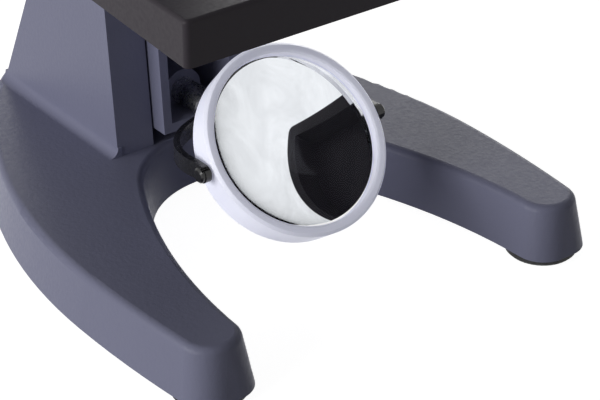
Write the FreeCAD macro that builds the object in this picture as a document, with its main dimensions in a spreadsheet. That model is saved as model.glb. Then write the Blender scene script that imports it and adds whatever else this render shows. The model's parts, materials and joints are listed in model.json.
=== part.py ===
# Monocular microscope on a horseshoe foot: inclining limb, plain stage, mirror in a yoke,
# rack-and-pinion tube with a revolving nosepiece and an eyepiece.
# Millimetres, +Z up. The origin is on the bench, under the middle of the foot.
# The tube's axis is vertical at rest; "reach" sizes are measured from it, forwards or backwards.
import FreeCAD, Part
import Sketcher
import math
import os

V = FreeCAD.Vector

sizes = {
    # Foot: a horseshoe casting on rubber pads
    "padHeight": 2.5, "padRadius": 10.3, "padBore": 2.4,
    "footDepth": 16.0, "footDraftRun": 2.5, "footEdge": 2.2, "footWall": 4.5, "footRoof": 5.0,
    "footHalfWidth": 71.5, "footFlankFront": 375.5, "footFlankRear": 183.2, "footRearRadius": 40.5,
    "tipReach": 52.5, "tipCorner": 8.5, "tipRounded": 0.56, "legGapHalf": 47.5, "legInnerRadius": 170.5,
    "legArcReach": 50.3, "crotchRadius": 31.0,
    "padFrontSide": 58.0, "padFrontReach": 41.5, "padRearSide": 20.0, "padRearReach": 103.0,
    "padBossRadius": 6.0, "padScrewRadius": 2.2, "padScrewHead": 4.6,
    # Pillar: two cheeks that carry the limb
    "hingeReach": 66.6, "hingeLevel": 83.5, "crownRadius": 12.6, "cheekHalf": 26.6, "slotHalf": 14.2,
    "cheekFrontLean": 4.5, "cheekRearLean": 26.6, "cheekFoot": 3.0, "cheekEdge": 1.2,
    "hingePin": 4.0, "hingeBore": 4.05, "hingeHeadRadius": 9.0, "hingeHead": 5.0, "nutGrip": 3.0,
    "washerRadius": 10.0, "webReach": 84.0, "webTop": 55.0, "bufferRadius": 4.0, "bufferLevel": 34.0,
    "bufferSeat": 2.0,
    # Limb
    "limbHalf": 13.5, "tongueBottom": 23.7, "tongueReach": 43.7, "tongueLean": 0.07,
    "channelWall": 2.8, "channelBack": 66.0, "channelTop": 70.0,
    "throatStep": 7.8, "throatRadius": 58.0, "headRise": 81.8, "headDepth": 64.0, "headReach": 22.0,
    "throatHigh": 34.0, "armRearLow": 84.0, "armRearHigh": 62.0, "armRearRadius": 215.0,
    "armRearDrop": 12.0, "armEdge": 4.5, "bracketReach": 21.0, "bracketDepth": 8.0,
    # Stage
    "stageTop": 104.2, "stageDepth": 12.7, "stagePlate": 4.0, "stageWall": 3.5, "stageHalf": 60.0,
    "stageFront": 38.2, "stageRear": 46.0, "stageTaper": 3.1, "stageRise": 3.0, "stageCorner": 1.6,
    "stageEdge": 1.0, "stageHole": 15.0, "stageScrewSide": 8.0, "stageScrewNear": 26.0,
    "stageScrewFar": 39.0, "stageScrewRadius": 2.0, "stageScrewHead": 3.8,
    "screwSink": 2.2,
    # Stage clips
    "clipSide": 44.0, "clipReach": 24.0, "clipPostRadius": 2.5, "clipPostHead": 4.5, "clipWidth": 8.0,
    "clipLength": 44.0, "clipTouch": 0.3, "clipSheet": 0.9, "clipRise": 2.4, "clipAngle": 40.0,
         "clipFoot": 1.2,
    # Condenser and disc diaphragm under the stage
    "lensRadius": 9.0, "lensThick": 4.0, "lensSeat": 1.5, "mountRadius": 17.5, "mountDepth": 6.0,
    "discRadius": 20.0, "discThick": 1.2, "discOffset": 14.0, "discGap": 0.3, "discPost": 2.0,
         "discScrewHead": 3.8,
    "runningGap": 0.3, "fitGap": 0.03,
    # Mirror, yoke and stem
    "mirrorLevel": 35.9, "mirrorTilt": 48.0, "bowlRadius": 28.3, "glassRadius": 25.0, "glassThick": 6.2,
    "glassRise": 3.4, "glassBevel": 0.4, "lipRise": 3.7, "bowlWaist": 27.4, "bowlShoulder": 6.0,
    "bowlDepth": 12.0,
    "bowlFloor": 19.0, "silverRadius": 100.0, "silverLeanSide": 4.2, "silverLeanBack": 2.8,
    "silverDepth": 1.9, "yokeInner": 28.9, "yokeThick": 1.8, "yokeHeight": 5.0, "yokeStraight": 4.0,
    "yokeDrop": 5.5, "pivotRadius": 1.2, "pivotKnob": 2.2, "stemRadius": 4.0, "stemSeat": 58.0,
    "stemCollar": 5.6, "yokeBoss": 6.0, "yokeBossDepth": 3.0,
    "yokeScrewRadius": 1.5, "yokeScrewHead": 4.8,
    # Tube, slide and rack
    "tubeRadius": 15.0, "tubeBore": 12.2, "eyepieceBore": 11.6, "tubeLength": 132.0,
    "tubeRim": 16.5, "tubeRimDepth": 5.0, "slideHalf": 7.6, "slideNeck": 4.5, "slideFlange": 4.0,
    "slideStart": 1.0, "slideLength": 77.0, "gibThick": 3.0, "gibLength": 56.0, "rackHalf": 3.0,
    "gibScrewRadius": 1.5, "gibScrewHead": 2.6, "gibScrewDepth": 6.0, "tubeScrewRadius": 1.6,
    "tubeScrewHead": 2.6, "tubeScrewSink": 2.2,
    "rackBack": 1.0,
    # Pinion and knobs
    "pinionRise": 32.0, "toothModule": 1.0, "pinionTeeth": 12, "rackTeeth": 19, "rackTeethAbove": 3,
    "pinionHalf": 3.5,
    "shaftRadius": 3.0, "bushRadius": 4.5, "knobRadius": 20.0, "knobThick": 15.0, "knobGap": 2.5,
    "hubRadius": 9.0, "knobFlutes": 24, "fluteRadius": 1.5, "knobScrewRadius": 1.5,
         "knobScrewHead": 3.8,
    "knobScrewLength": 6.0, "knobSink": 2.6,
    # Nosepiece and objectives
    "shoulderRise": 40.8, "shoulderDrop": 23.0, "noseTilt": 15.0, "noseSeat": 17.0,
    "turretRadius": 27.0, "turretRim": 8.0, "nosePivot": 3.0,
    "objectiveBarrel": 10.5, "objectiveThread": 8.0, "objectiveThreadLength": 3.5,
    "objectiveNose": 4.5, "lowLength": 22.0, "middleLength": 30.0, "highLength": 36.0,
    # Eyepiece
    "eyepieceRadius": 11.5, "eyepieceDrop": 24.0, "eyepieceHead": 15.5, "eyepieceHeight": 20.0,
    "eyeLens": 7.0, "eyeLensDrop": 5.5, "eyepieceTube": 9.5, "fieldStop": 8.3, "cupRadius": 12.0,
    "cupDepth": 5.0,
}

doc = FreeCAD.newDocument("Microscope")
sheet = doc.addObject("Spreadsheet::Sheet", "Sizes")
for row, (alias, number) in enumerate(sizes.items(), start=1):
    sheet.set("A%d" % row, alias)
    sheet.set("B%d" % row, str(number))
    sheet.setAlias("B%d" % row, alias)
doc.recompute()


class Dim:
    # A size with its number and the sheet expression that gives it, so both follow the sheet.
    def __init__(self, value, text):
        self.value = value
        self.text = text

    def __add__(self, other):
        other = dim(other)
        return Dim(self.value + other.value, "(%s + %s)" % (self.text, other.text))

    def __sub__(self, other):
        other = dim(other)
        return Dim(self.value - other.value, "(%s - %s)" % (self.text, other.text))

    def __mul__(self, other):
        other = dim(other)
        return Dim(self.value * other.value, "(%s * %s)" % (self.text, other.text))

    def __truediv__(self, other):
        other = dim(other)
        return Dim(self.value / other.value, "(%s / %s)" % (self.text, other.text))

    def __neg__(self):
        return Dim(-self.value, "(0 - %s)" % self.text)

    def __radd__(self, other):
        return dim(other) + self

    def __rsub__(self, other):
        return dim(other) - self

    def __rmul__(self, other):
        return dim(other) * self


def dim(number):
    if isinstance(number, Dim):
        return number
    return Dim(float(number), "(%r)" % float(number))


def root(size):
    return Dim(math.sqrt(size.value), "sqrt(%s)" % size.text)


def smaller(first, second):
    return Dim(min(first.value, second.value), "min(%s; %s)" % (first.text, second.text))


def sine(degrees):
    return Dim(math.sin(math.radians(degrees.value)), "sin(%s * 1 deg)" % degrees.text)


def cosine(degrees):
    return Dim(math.cos(math.radians(degrees.value)), "cos(%s * 1 deg)" % degrees.text)


class Sheet:
    # Reads a size by its alias: s.padHeight
    def __getattr__(self, alias):
        return Dim(float(sizes[alias]), "Sizes.%s" % alias)


s = Sheet()


# Sketch and feature helpers

def newBody(label):
    body = doc.addObject("PartDesign::Body", label)
    body.Label = label
    return body


def newSketch(body, name, plane, rise=0):
    sketch = body.newObject("Sketcher::SketchObject", name)
    face = [part for part in body.Origin.OriginFeatures if part.Role == plane][0]
    sketch.AttachmentSupport = [(face, "")]
    sketch.MapMode = "FlatFace"
    sketch.setExpression("AttachmentOffset.Base.z", dim(rise).text)
    return sketch


def pin(sketch, edge, end, across, up):
    # Ties one end of an edge to its place in the sketch.
    for kind, size in (("DistanceX", dim(across)), ("DistanceY", dim(up))):
        index = sketch.addConstraint(Sketcher.Constraint(kind, -1, 1, edge, end, size.value))
        sketch.setExpression("Constraints[%d]" % index, size.text)


def addOutline(sketch, corners, arcs=None):
    # A closed outline. arcs: edge number -> (radius, +1 anticlockwise or -1 clockwise).
    arcs = arcs or {}
    first = sketch.GeometryCount
    corners = [(dim(across), dim(up)) for across, up in corners]
    count = len(corners)
    starts = []
    ends = []
    for number in range(count):
        a = V(corners[number][0].value, corners[number][1].value, 0)
        b = V(corners[(number + 1) % count][0].value, corners[(number + 1) % count][1].value, 0)
        if number in arcs:
            radius, turn = arcs[number]
            chord = b.sub(a)
            reach = math.sqrt(max(radius.value ** 2 - (chord.Length / 2) ** 2, 0))
            side = V(-chord.y, chord.x, 0).normalize() * (reach * turn)
            centre = (a + b) * 0.5 + side
            low, high = (a, b) if turn > 0 else (b, a)
            circle = Part.Circle(centre, V(0, 0, 1), radius.value)
            angles = [math.atan2(p.y - centre.y, p.x - centre.x) for p in (low, high)]
            edge = sketch.addGeometry(Part.ArcOfCircle(circle, *angles), False)
            starts.append((edge, 1 if turn > 0 else 2))
            ends.append((edge, 2 if turn > 0 else 1))
        else:
            edge = sketch.addGeometry(Part.LineSegment(a, b), False)
            starts.append((edge, 1))
            ends.append((edge, 2))
    for number in range(count):
        following = (number + 1) % count
        sketch.addConstraint(Sketcher.Constraint("Coincident", *ends[number], *starts[following]))
        pin(sketch, *starts[number], *corners[number])
    for number, (radius, turn) in arcs.items():
        index = sketch.addConstraint(Sketcher.Constraint("Radius", first + number, radius.value))
        sketch.setExpression("Constraints[%d]" % index, radius.text)


def addCircle(sketch, across, up, radius):
    across, up, radius = dim(across), dim(up), dim(radius)
    circle = Part.Circle(V(across.value, up.value, 0), V(0, 0, 1), radius.value)
    edge = sketch.addGeometry(circle, False)
    pin(sketch, edge, 3, across, up)
    index = sketch.addConstraint(Sketcher.Constraint("Radius", edge, radius.value))
    sketch.setExpression("Constraints[%d]" % index, radius.text)


def extrude(body, kind, name, sketch, length, both=False, back=False, taper=None):
    # kind is Pad or Pocket; both: half of the length on each side; back: against the normal.
    feature = body.newObject("PartDesign::" + kind, name)
    feature.Profile = sketch
    feature.setExpression("Length", dim(length).text)
    feature.Midplane = both
    feature.Reversed = back
    if taper:
        feature.setExpression("TaperAngle", taper)
    sketch.Visibility = False
    doc.recompute()
    return feature


def roundEdges(body, name, radius, wanted, kind="Fillet"):
    # Rounds the edges for which wanted(edge) holds.
    base = body.Tip
    names = ["Edge%d" % n for n, edge in enumerate(base.Shape.Edges, start=1) if wanted(edge)]
    feature = body.newObject("PartDesign::" + kind, name)
    feature.Base = (base, names)
    feature.setExpression("Radius" if kind == "Fillet" else "Size", dim(radius).text)
    doc.recompute()
    return feature


def put(body, across=0, deep=0, up=0, turn=None):
    # Places a body; turn is a rotation about its own origin.
    if turn is not None:
        body.Placement = FreeCAD.Placement(V(0, 0, 0), turn)
    for letter, size in (("x", across), ("y", deep), ("z", up)):
        body.setExpression("Placement.Base." + letter, dim(size).text)


def turned(label, profile, arcs=None, across=0, deep=0, up=0, turn=None):
    # A turned piece: profile of (radius, height) about its own axis.
    body = newBody(label)
    sketch = newSketch(body, label + "_profile", "XZ_Plane")
    addOutline(sketch, profile, arcs)
    feature = body.newObject("PartDesign::Revolution", label + "_turned")
    feature.Profile = sketch
    feature.ReferenceAxis = (sketch, ["V_Axis"])
    feature.Angle = 360
    sketch.Visibility = False
    put(body, across, deep, up, turn)
    doc.recompute()
    return body


xAxis = V(1, 0, 0)
yAxis = V(0, 1, 0)
zAxis = V(0, 0, 1)
towardsX = FreeCAD.Rotation(yAxis, 90)
towardsMinusX = FreeCAD.Rotation(yAxis, -90)
towardsY = FreeCAD.Rotation(xAxis, -90)
towardsMinusY = FreeCAD.Rotation(xAxis, 90)

# Places that follow from the sizes

rearCentre = root((s.footFlankRear - s.footRearRadius) * (s.footFlankRear - s.footRearRadius)
                  - (s.footFlankRear - s.footHalfWidth) * (s.footFlankRear - s.footHalfWidth))
rearReach = rearCentre + s.footRearRadius
axis = (s.tipReach - rearReach) / 2
crotchOffset = s.legInnerRadius - s.crotchRadius
innerOffset = s.legInnerRadius - s.legGapHalf
crotchCentre = root(crotchOffset * crotchOffset - innerOffset * innerOffset) - s.legArcReach
footTop = s.padHeight + s.footDepth
stageBottom = s.stageTop - s.stageDepth
plateBottom = s.stageTop - s.stagePlate
throatLow = s.stageTop + s.throatStep
headBottom = s.stageTop + s.headRise
headTop = headBottom + s.headDepth
armRearTop = headTop - s.armRearDrop
pinionLevel = headBottom + s.pinionRise
shoulderLevel = s.stageTop + s.shoulderRise
tubeBottom = shoulderLevel + s.shoulderDrop
tubeTop = tubeBottom + s.tubeLength
slideLow = tubeBottom + s.slideStart
stemLevel = s.mirrorLevel - s.yokeDrop


def behind(reach):
    # Y of a place that lies this far behind the tube's axis.
    return axis + reach


# Foot and pillar casting

def horseshoe(sketch, inset):
    # The foot's outline seen from above, every side moved inwards by inset.
    half = s.footHalfWidth - inset
    front = s.footFlankFront - inset
    rear = s.footFlankRear - inset
    tail = s.footRearRadius - inset
    inner = s.legInnerRadius + inset
    crotch = s.crotchRadius + inset
    tip = s.tipReach - inset
    innerShift = s.legInnerRadius - s.legGapHalf
    stretch = inner / (inner - crotch)
    innerTip = root(inner * inner - (tip - s.legArcReach) * (tip - s.legArcReach)) - innerShift
    outerTip = root(front * front - tip * tip) - (front - half)
    joinInner = (innerShift * (stretch - 1), (crotchCentre + s.legArcReach) * stretch - s.legArcReach)
    swell = rear / (rear - tail)
    joinRear = ((rear - half) * (swell - 1), rearCentre * swell)
    right = [joinInner, (innerTip, -tip), (outerTip, -tip), (half, dim(0)), joinRear]
    left = [(-across, reach) for across, reach in reversed(right)]
    corners = [(across, behind(reach)) for across, reach in right + left]
    arcs = {0: (inner, -1), 2: (front, 1), 3: (rear, 1), 4: (tail, 1), 5: (rear, 1), 6: (front, 1),
            8: (inner, -1), 9: (crotch, -1)}
    addOutline(sketch, corners, arcs)


def near(number, wanted, slack=0.05):
    return abs(number - wanted.value) < slack


foot = newBody("base_casting")
outline = newSketch(foot, "foot_outline", "XY_Plane", s.padHeight)
horseshoe(outline, dim(0))
draft = "-atan(Sizes.footDraftRun / Sizes.footDepth)"
extrude(foot, "Pad", "foot_plate", outline, s.footDepth, taper=draft)


# The rounding keeps to what the width of a leg's tip allows.
tipPast = s.tipReach - s.legArcReach
tipOuter = (root(s.footFlankFront * s.footFlankFront - s.tipReach * s.tipReach)
            - (s.footFlankFront - s.footHalfWidth))
tipInner = (root(s.legInnerRadius * s.legInnerRadius - tipPast * tipPast)
            - (s.legInnerRadius - s.legGapHalf))
tipRounding = smaller(s.tipCorner, (tipOuter - tipInner - s.footDraftRun * 2) * s.tipRounded)


def isTipCorner(edge):
    tall = abs(edge.BoundBox.ZLength - s.footDepth.value) < 0.1
    return tall and edge.BoundBox.YMax < (axis - s.tipReach + s.footDraftRun + 1).value


roundEdges(foot, "tip_corners", tipRounding, isTipCorner)
roundEdges(foot, "foot_top_edge", s.footEdge,
           lambda edge: edge.BoundBox.ZLength < 0.01 and near(edge.BoundBox.ZMin, footTop))
hollow = newSketch(foot, "foot_hollow_outline", "XY_Plane", s.padHeight)
horseshoe(hollow, s.footWall)
extrude(foot, "Pocket", "foot_hollow", hollow, s.footDepth - s.footRoof, back=True)

padPlaces = [(side * s.padFrontSide, behind(-s.padFrontReach)) for side in (-1, 1)]
padPlaces += [(side * s.padRearSide, behind(s.padRearReach)) for side in (-1, 1)]
bosses = newSketch(foot, "pad_bosses", "XY_Plane", s.padHeight)
for across, deep in padPlaces:
    addCircle(bosses, across, deep, s.padBossRadius)
extrude(foot, "Pad", "pad_boss_pads", bosses, s.footDepth - s.footRoof / 2)

crownFront = (s.hingeReach - s.crownRadius * cosine(s.cheekFrontLean),
              s.hingeLevel + s.crownRadius * sine(s.cheekFrontLean))
crownRear = (s.hingeReach + s.crownRadius * cosine(s.cheekRearLean),
             s.hingeLevel + s.crownRadius * sine(s.cheekRearLean))
cheekRoot = footTop - s.footRoof / 2
frontSlope = sine(s.cheekFrontLean) / cosine(s.cheekFrontLean)
rearSlope = sine(s.cheekRearLean) / cosine(s.cheekRearLean)
cheekFrontReach = crownFront[0] - (crownFront[1] - cheekRoot) * frontSlope
cheekRearReach = crownRear[0] + (crownRear[1] - cheekRoot) * rearSlope
cheeks = newSketch(foot, "cheek_side", "YZ_Plane")
addOutline(cheeks, [(behind(cheekFrontReach), cheekRoot), (behind(cheekRearReach), cheekRoot),
                    (behind(crownRear[0]), crownRear[1]), (behind(crownFront[0]), crownFront[1])],
           {2: (s.crownRadius, 1)})
extrude(foot, "Pad", "cheek_block", cheeks, s.cheekHalf * 2, both=True)


def bandSection(side):
    # Concave band at the foot of a cheek, on one side.
    inner = (s.cheekHalf - s.cheekEdge) * side
    root = s.cheekHalf * side
    outer = (s.cheekHalf + s.cheekFoot) * side
    low = footTop - s.cheekEdge
    corners = [(inner, low), (outer, low), (outer, footTop), (root, footTop + s.cheekFoot),
               (inner, footTop + s.cheekFoot)]
    return corners, {2: (s.cheekFoot, -side)}


band = newSketch(foot, "cheek_band_section", "XZ_Plane", -behind(cheekRearReach - s.cheekFoot / 2))
for side in (-1, 1):
    addOutline(band, *bandSection(side))
extrude(foot, "Pad", "cheek_bands", band, cheekRearReach - cheekFrontReach - s.cheekFoot / 2)
trim = newSketch(foot, "band_trim_outline", "XY_Plane", footTop)
horseshoe(trim, s.footDraftRun + s.footEdge / 2)
addOutline(trim, [(-s.footHalfWidth * 2, behind(-s.footHalfWidth * 2)),
                  (s.footHalfWidth * 2, behind(-s.footHalfWidth * 2)),
                  (s.footHalfWidth * 2, behind(rearReach * 2)),
                  (-s.footHalfWidth * 2, behind(rearReach * 2))])
extrude(foot, "Pocket", "band_trim", trim, s.cheekFoot, back=True)
slot = newSketch(foot, "cheek_slot", "YZ_Plane")
addOutline(slot, [(behind(0), footTop), (behind(s.webReach), footTop), (behind(s.webReach), s.webTop),
                  (behind(rearReach), s.webTop), (behind(rearReach), headTop), (behind(0), headTop)])
extrude(foot, "Pocket", "cheek_slot_cut", slot, s.slotHalf * 2, both=True)
hingeHole = newSketch(foot, "hinge_hole", "YZ_Plane")
addCircle(hingeHole, behind(s.hingeReach), s.hingeLevel, s.hingeBore)
extrude(foot, "Pocket", "hinge_bore", hingeHole, s.cheekHalf * 4, both=True)
bufferHole = newSketch(foot, "buffer_hole", "XZ_Plane", -behind(s.webReach + s.bufferSeat))
addCircle(bufferHole, 0, s.bufferLevel, s.bufferRadius + s.fitGap)
extrude(foot, "Pocket", "buffer_seat", bufferHole, s.bufferSeat * 2, back=True)
screwHoles = newSketch(foot, "pad_screw_holes", "XY_Plane", s.padHeight)
for across, deep in padPlaces:
    addCircle(screwHoles, across, deep, s.padScrewRadius)
extrude(foot, "Pocket", "pad_screw_bores", screwHoles, s.footDepth - s.footRoof, back=True)


# Pads, hinge and stop of the foot

nodes = [foot]


def keep(label, *pieces):
    # One sub-part of several separate solids of the same kind.
    compound = doc.addObject("Part::Compound", label)
    compound.Label = label
    compound.Links = list(pieces)
    doc.recompute()
    nodes.append(compound)
    return compound


def kept(piece):
    nodes.append(piece)
    return piece


padRecess = s.padHeight * 0.55
padScrewTop = s.footDepth - s.footRoof
padScrewShank = s.padScrewRadius - s.fitGap
pads = []
padScrews = []
for number, (across, deep) in enumerate(padPlaces, start=1):
    pads.append(turned("pad_%d" % number,
                       [(s.padBore, padRecess), (s.padScrewHead + s.runningGap, padRecess),
                        (s.padScrewHead + s.runningGap, 0), (s.padRadius - 0.8, 0), (s.padRadius, 0.8),
                        (s.padRadius, s.padHeight), (s.padBore, s.padHeight)], None, across, deep))
    padScrews.append(turned("pad_screw_%d" % number,
                            [(0, 0.3), (s.padScrewHead - 0.5, 0.3), (s.padScrewHead, 0.8),
                             (s.padScrewHead, padRecess), (padScrewShank, padRecess),
                             (padScrewShank, padScrewTop), (0, padScrewTop)], None, across, deep))
keep("rubber_feet", *pads)
keep("foot_screws", *padScrews)

cheekWidth = s.cheekHalf * 2
kept(turned("hinge_bolt",
            [(0, -s.hingeHead), (s.hingeHeadRadius * 0.45, -s.hingeHead), (s.hingeHeadRadius, -1.5),
             (s.hingeHeadRadius, 0), (s.hingePin, 0), (s.hingePin, cheekWidth + s.nutGrip),
             (0, cheekWidth + s.nutGrip)], {1: (s.hingeHeadRadius * 0.95, 1)},
            -s.cheekHalf, behind(s.hingeReach), s.hingeLevel, towardsX))
kept(turned("hinge_nut",
            [(s.hingePin + s.fitGap, 0), (s.hingeHeadRadius, 0), (s.hingeHeadRadius, 1.5),
             (s.hingeHeadRadius * 0.45, s.hingeHead), (0, s.hingeHead), (0, s.nutGrip + s.runningGap),
             (s.hingePin + s.fitGap, s.nutGrip + s.runningGap)], {2: (s.hingeHeadRadius * 0.95, 1)},
            s.cheekHalf, behind(s.hingeReach), s.hingeLevel, towardsX))
washers = []
for side, rotation in ((-1, towardsMinusX), (1, towardsX)):
    washers.append(turned("washer_%d" % (side + 2),
                          [(s.hingeBore, 0), (s.washerRadius, 0),
                           (s.washerRadius, s.slotHalf - s.limbHalf),
                           (s.hingeBore, s.slotHalf - s.limbHalf)], None,
                          side * s.limbHalf, behind(s.hingeReach), s.hingeLevel, rotation))
keep("friction_washers", *washers)

# The limb's rear: a straight tongue, a long arc and a crown arc, each tangent to the next
armLowLevel = s.hingeLevel + s.bracketDepth
chordBack = s.armRearHigh - s.armRearLow
chordUp = armRearTop - armLowLevel
bow = root(s.armRearRadius * s.armRearRadius / (chordBack * chordBack + chordUp * chordUp) - 0.25)
arcReach = (s.armRearLow + s.armRearHigh) / 2 - bow * chordUp
arcLevel = (armLowLevel + armRearTop) / 2 + bow * chordBack
tongueSlope = (arcLevel - armLowLevel) / (s.armRearLow - arcReach)
tongueRear = s.armRearLow - (armLowLevel - s.tongueBottom) * tongueSlope
crown = (headTop - armRearTop) / (1 - (armRearTop - arcLevel) / s.armRearRadius)
crownReach = s.armRearHigh - (s.armRearHigh - arcReach) * crown / s.armRearRadius

bufferTip = tongueRear + (s.bufferLevel + s.bufferRadius - s.tongueBottom) * tongueSlope + s.runningGap
bufferLength = s.webReach + s.bufferSeat - bufferTip
kept(turned("stop_buffer",
            [(0, 0), (s.bufferRadius, 0), (s.bufferRadius, bufferLength - 1),
             (s.bufferRadius - 1, bufferLength),
             (0, bufferLength)], None, 0, behind(s.webReach + s.bufferSeat), s.bufferLevel,
            towardsMinusY))

# Limb: one casting with the tongue between the cheeks, the stage bracket and the curved arm

limb = newBody("limb_arm")
limbSide = newSketch(limb, "limb_side", "YZ_Plane")
bracketBottom = plateBottom - s.bracketDepth
bracketRoot = s.tongueReach + (bracketBottom - s.tongueBottom) * s.tongueLean
armFront = s.tongueReach + (plateBottom - s.tongueBottom) * s.tongueLean
limbCorners = [(s.tongueReach, s.tongueBottom), (tongueRear, s.tongueBottom),
               (s.armRearLow, armLowLevel), (s.armRearHigh, armRearTop), (crownReach, headTop),
               (s.headReach, headTop), (s.headReach, headBottom),
               (s.throatHigh, headBottom), (armFront, throatLow), (armFront, plateBottom),
               (s.bracketReach, plateBottom), (s.bracketReach, bracketBottom),
               (bracketRoot, bracketBottom)]
addOutline(limbSide, [(behind(reach), level) for reach, level in limbCorners],
           {2: (s.armRearRadius, 1), 3: (crown, 1), 7: (s.throatRadius, -1)})
extrude(limb, "Pad", "limb_block", limbSide, s.limbHalf * 2, both=True)


def isArmEdge(edge):
    # The long side edges behind, on top and in the throat of the arm.
    box = edge.BoundBox
    onSide = box.XLength < 0.01 and near(abs(box.XMin), s.limbHalf)
    tall = box.ZLength > 50 and box.ZMin > s.hingeLevel.value
    high = box.ZMax > headTop.value - 0.1
    return onSide and (tall or high) and box.YMin > behind(s.throatHigh).value - 1


roundEdges(limb, "arm_edges", s.armEdge, isArmEdge)

channel = newSketch(limb, "tongue_channel", "YZ_Plane")
channelFloor = s.tongueBottom + s.channelWall
addOutline(channel, [(behind(0), channelFloor), (behind(s.channelBack), channelFloor),
                     (behind(s.channelBack - 4), s.channelTop), (behind(0), s.channelTop)])
extrude(limb, "Pocket", "tongue_channel_cut", channel, (s.limbHalf - s.channelWall) * 2, both=True)
stemBoss = newSketch(limb, "stem_boss", "XZ_Plane", -behind(s.channelBack + 1))
addCircle(stemBoss, 0, stemLevel, s.stemRadius + 2.5)
extrude(limb, "Pad", "stem_boss_pad", stemBoss, s.channelBack - s.stemSeat + 5)
stemBore = newSketch(limb, "stem_bore_circle", "XZ_Plane", -behind(s.stemSeat))
addCircle(stemBore, 0, stemLevel, s.stemRadius + s.fitGap)
extrude(limb, "Pocket", "stem_bore", stemBore, s.stemSeat, back=True)
limbHinge = newSketch(limb, "limb_hinge_circle", "YZ_Plane")
addCircle(limbHinge, behind(s.hingeReach), s.hingeLevel, s.hingeBore)
extrude(limb, "Pocket", "limb_hinge_bore", limbHinge, s.limbHalf * 4, both=True)

# Guide for the tube's slide, with room for the rack and the pinion
pitchRadius = s.toothModule * s.pinionTeeth / 2
slideBack = s.headReach + s.slideFlange
guideDepth = slideBack + s.runningGap
rackPitch = slideBack + s.rackBack + s.toothModule * 1.25
pinionReach = rackPitch + pitchRadius
tipRadius = pitchRadius + s.toothModule
guide = newSketch(limb, "guide_section", "XY_Plane", headBottom)
addOutline(guide, [(-s.slideHalf - s.runningGap, behind(s.headReach - 5)),
                   (s.slideHalf + s.runningGap, behind(s.headReach - 5)),
                   (s.slideHalf + s.runningGap, behind(guideDepth)),
                   (s.rackHalf + s.runningGap, behind(guideDepth)),
                   (s.rackHalf + s.runningGap, behind(rackPitch + s.toothModule + s.runningGap * 2)),
                   (-s.rackHalf - s.runningGap, behind(rackPitch + s.toothModule + s.runningGap * 2)),
                   (-s.rackHalf - s.runningGap, behind(guideDepth)),
                   (-s.slideHalf - s.runningGap, behind(guideDepth))])
extrude(limb, "Pocket", "guide_cut", guide, headTop - headBottom, back=True)
pinionRoom = newSketch(limb, "pinion_room_circle", "YZ_Plane")
addCircle(pinionRoom, behind(pinionReach), pinionLevel, tipRadius + s.runningGap * 2)
extrude(limb, "Pocket", "pinion_room", pinionRoom, (s.pinionHalf + s.runningGap) * 2, both=True)
bushHole = newSketch(limb, "bush_circle", "YZ_Plane")
addCircle(bushHole, behind(pinionReach), pinionLevel, s.bushRadius + s.fitGap)
extrude(limb, "Pocket", "bush_bore", bushHole, s.limbHalf * 4, both=True)

screwPlaces = [(side * s.stageScrewSide, behind(reach)) for side in (-1, 1)
               for reach in (s.stageScrewNear, s.stageScrewFar)]
bracketHoles = newSketch(limb, "bracket_hole_circles", "XY_Plane", bracketBottom)
for across, deep in screwPlaces:
    addCircle(bracketHoles, across, deep, s.stageScrewRadius + s.fitGap)
extrude(limb, "Pocket", "bracket_holes", bracketHoles, s.bracketDepth, back=True)
nodes.append(limb)

# Stage: a plate with a skirt that is shallower at the back

stage = newBody("stage")
stageRearHalf = s.stageHalf - s.stageTaper


def stageOutline(sketch, inset, rearInset):
    front = behind(inset - s.stageFront)
    rear = behind(s.stageRear - rearInset)
    addOutline(sketch, [(inset - s.stageHalf, front), (s.stageHalf - inset, front),
                        (stageRearHalf - inset, rear), (inset - stageRearHalf, rear)])


plan = newSketch(stage, "stage_plan", "XY_Plane", stageBottom)
stageOutline(plan, dim(0), dim(0))
extrude(stage, "Pad", "stage_block", plan, s.stageDepth)
roundEdges(stage, "stage_corners", s.stageCorner,
           lambda edge: edge.BoundBox.ZLength > s.stageDepth.value - 0.1)
roundEdges(stage, "stage_rim", s.stageEdge,
           lambda edge: edge.BoundBox.ZLength < 0.01 and near(edge.BoundBox.ZMin, s.stageTop))
under = newSketch(stage, "stage_underside", "XY_Plane", stageBottom)
stageOutline(under, s.stageWall, s.stageWall)
extrude(stage, "Pocket", "stage_hollow", under, s.stageDepth - s.stagePlate, back=True)
rise = newSketch(stage, "skirt_rise", "YZ_Plane")
skirtFront = behind(-s.stageFront - 1)
skirtRear = behind(s.stageRear + 1)
notchFront = behind(s.stageRear - s.stageWall - 1)
addOutline(rise, [(skirtFront, stageBottom - s.stageRise), (skirtRear, stageBottom - s.stageRise),
                  (skirtRear, stageBottom + s.stageRise), (skirtFront, stageBottom)])
extrude(stage, "Pocket", "skirt_rise_cut", rise, s.stageHalf * 3, both=True)
notch = newSketch(stage, "bracket_notch", "YZ_Plane")
addOutline(notch, [(notchFront, stageBottom), (skirtRear, stageBottom), (skirtRear, plateBottom),
                   (notchFront, plateBottom)])
extrude(stage, "Pocket", "bracket_notch_cut", notch, (s.limbHalf + 1) * 2, both=True)
clipPlaces = [(side * s.clipSide, behind(s.clipReach)) for side in (-1, 1)]
stageHoles = newSketch(stage, "stage_hole_circles", "XY_Plane", plateBottom)
addCircle(stageHoles, 0, behind(0), s.stageHole)
for across, deep in clipPlaces:
    addCircle(stageHoles, across, deep, s.clipPostRadius + s.fitGap)
for across, deep in screwPlaces:
    addCircle(stageHoles, across, deep, s.stageScrewRadius + s.fitGap)
extrude(stage, "Pocket", "stage_holes", stageHoles, s.stagePlate, back=True)
sinkFloor = s.stageTop - s.screwSink
sinks = newSketch(stage, "screw_sink_circles", "XY_Plane", sinkFloor)
for across, deep in screwPlaces:
    addCircle(sinks, across, deep, s.stageScrewHead + 0.2)
extrude(stage, "Pocket", "screw_sinks", sinks, s.screwSink, back=True)
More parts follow.
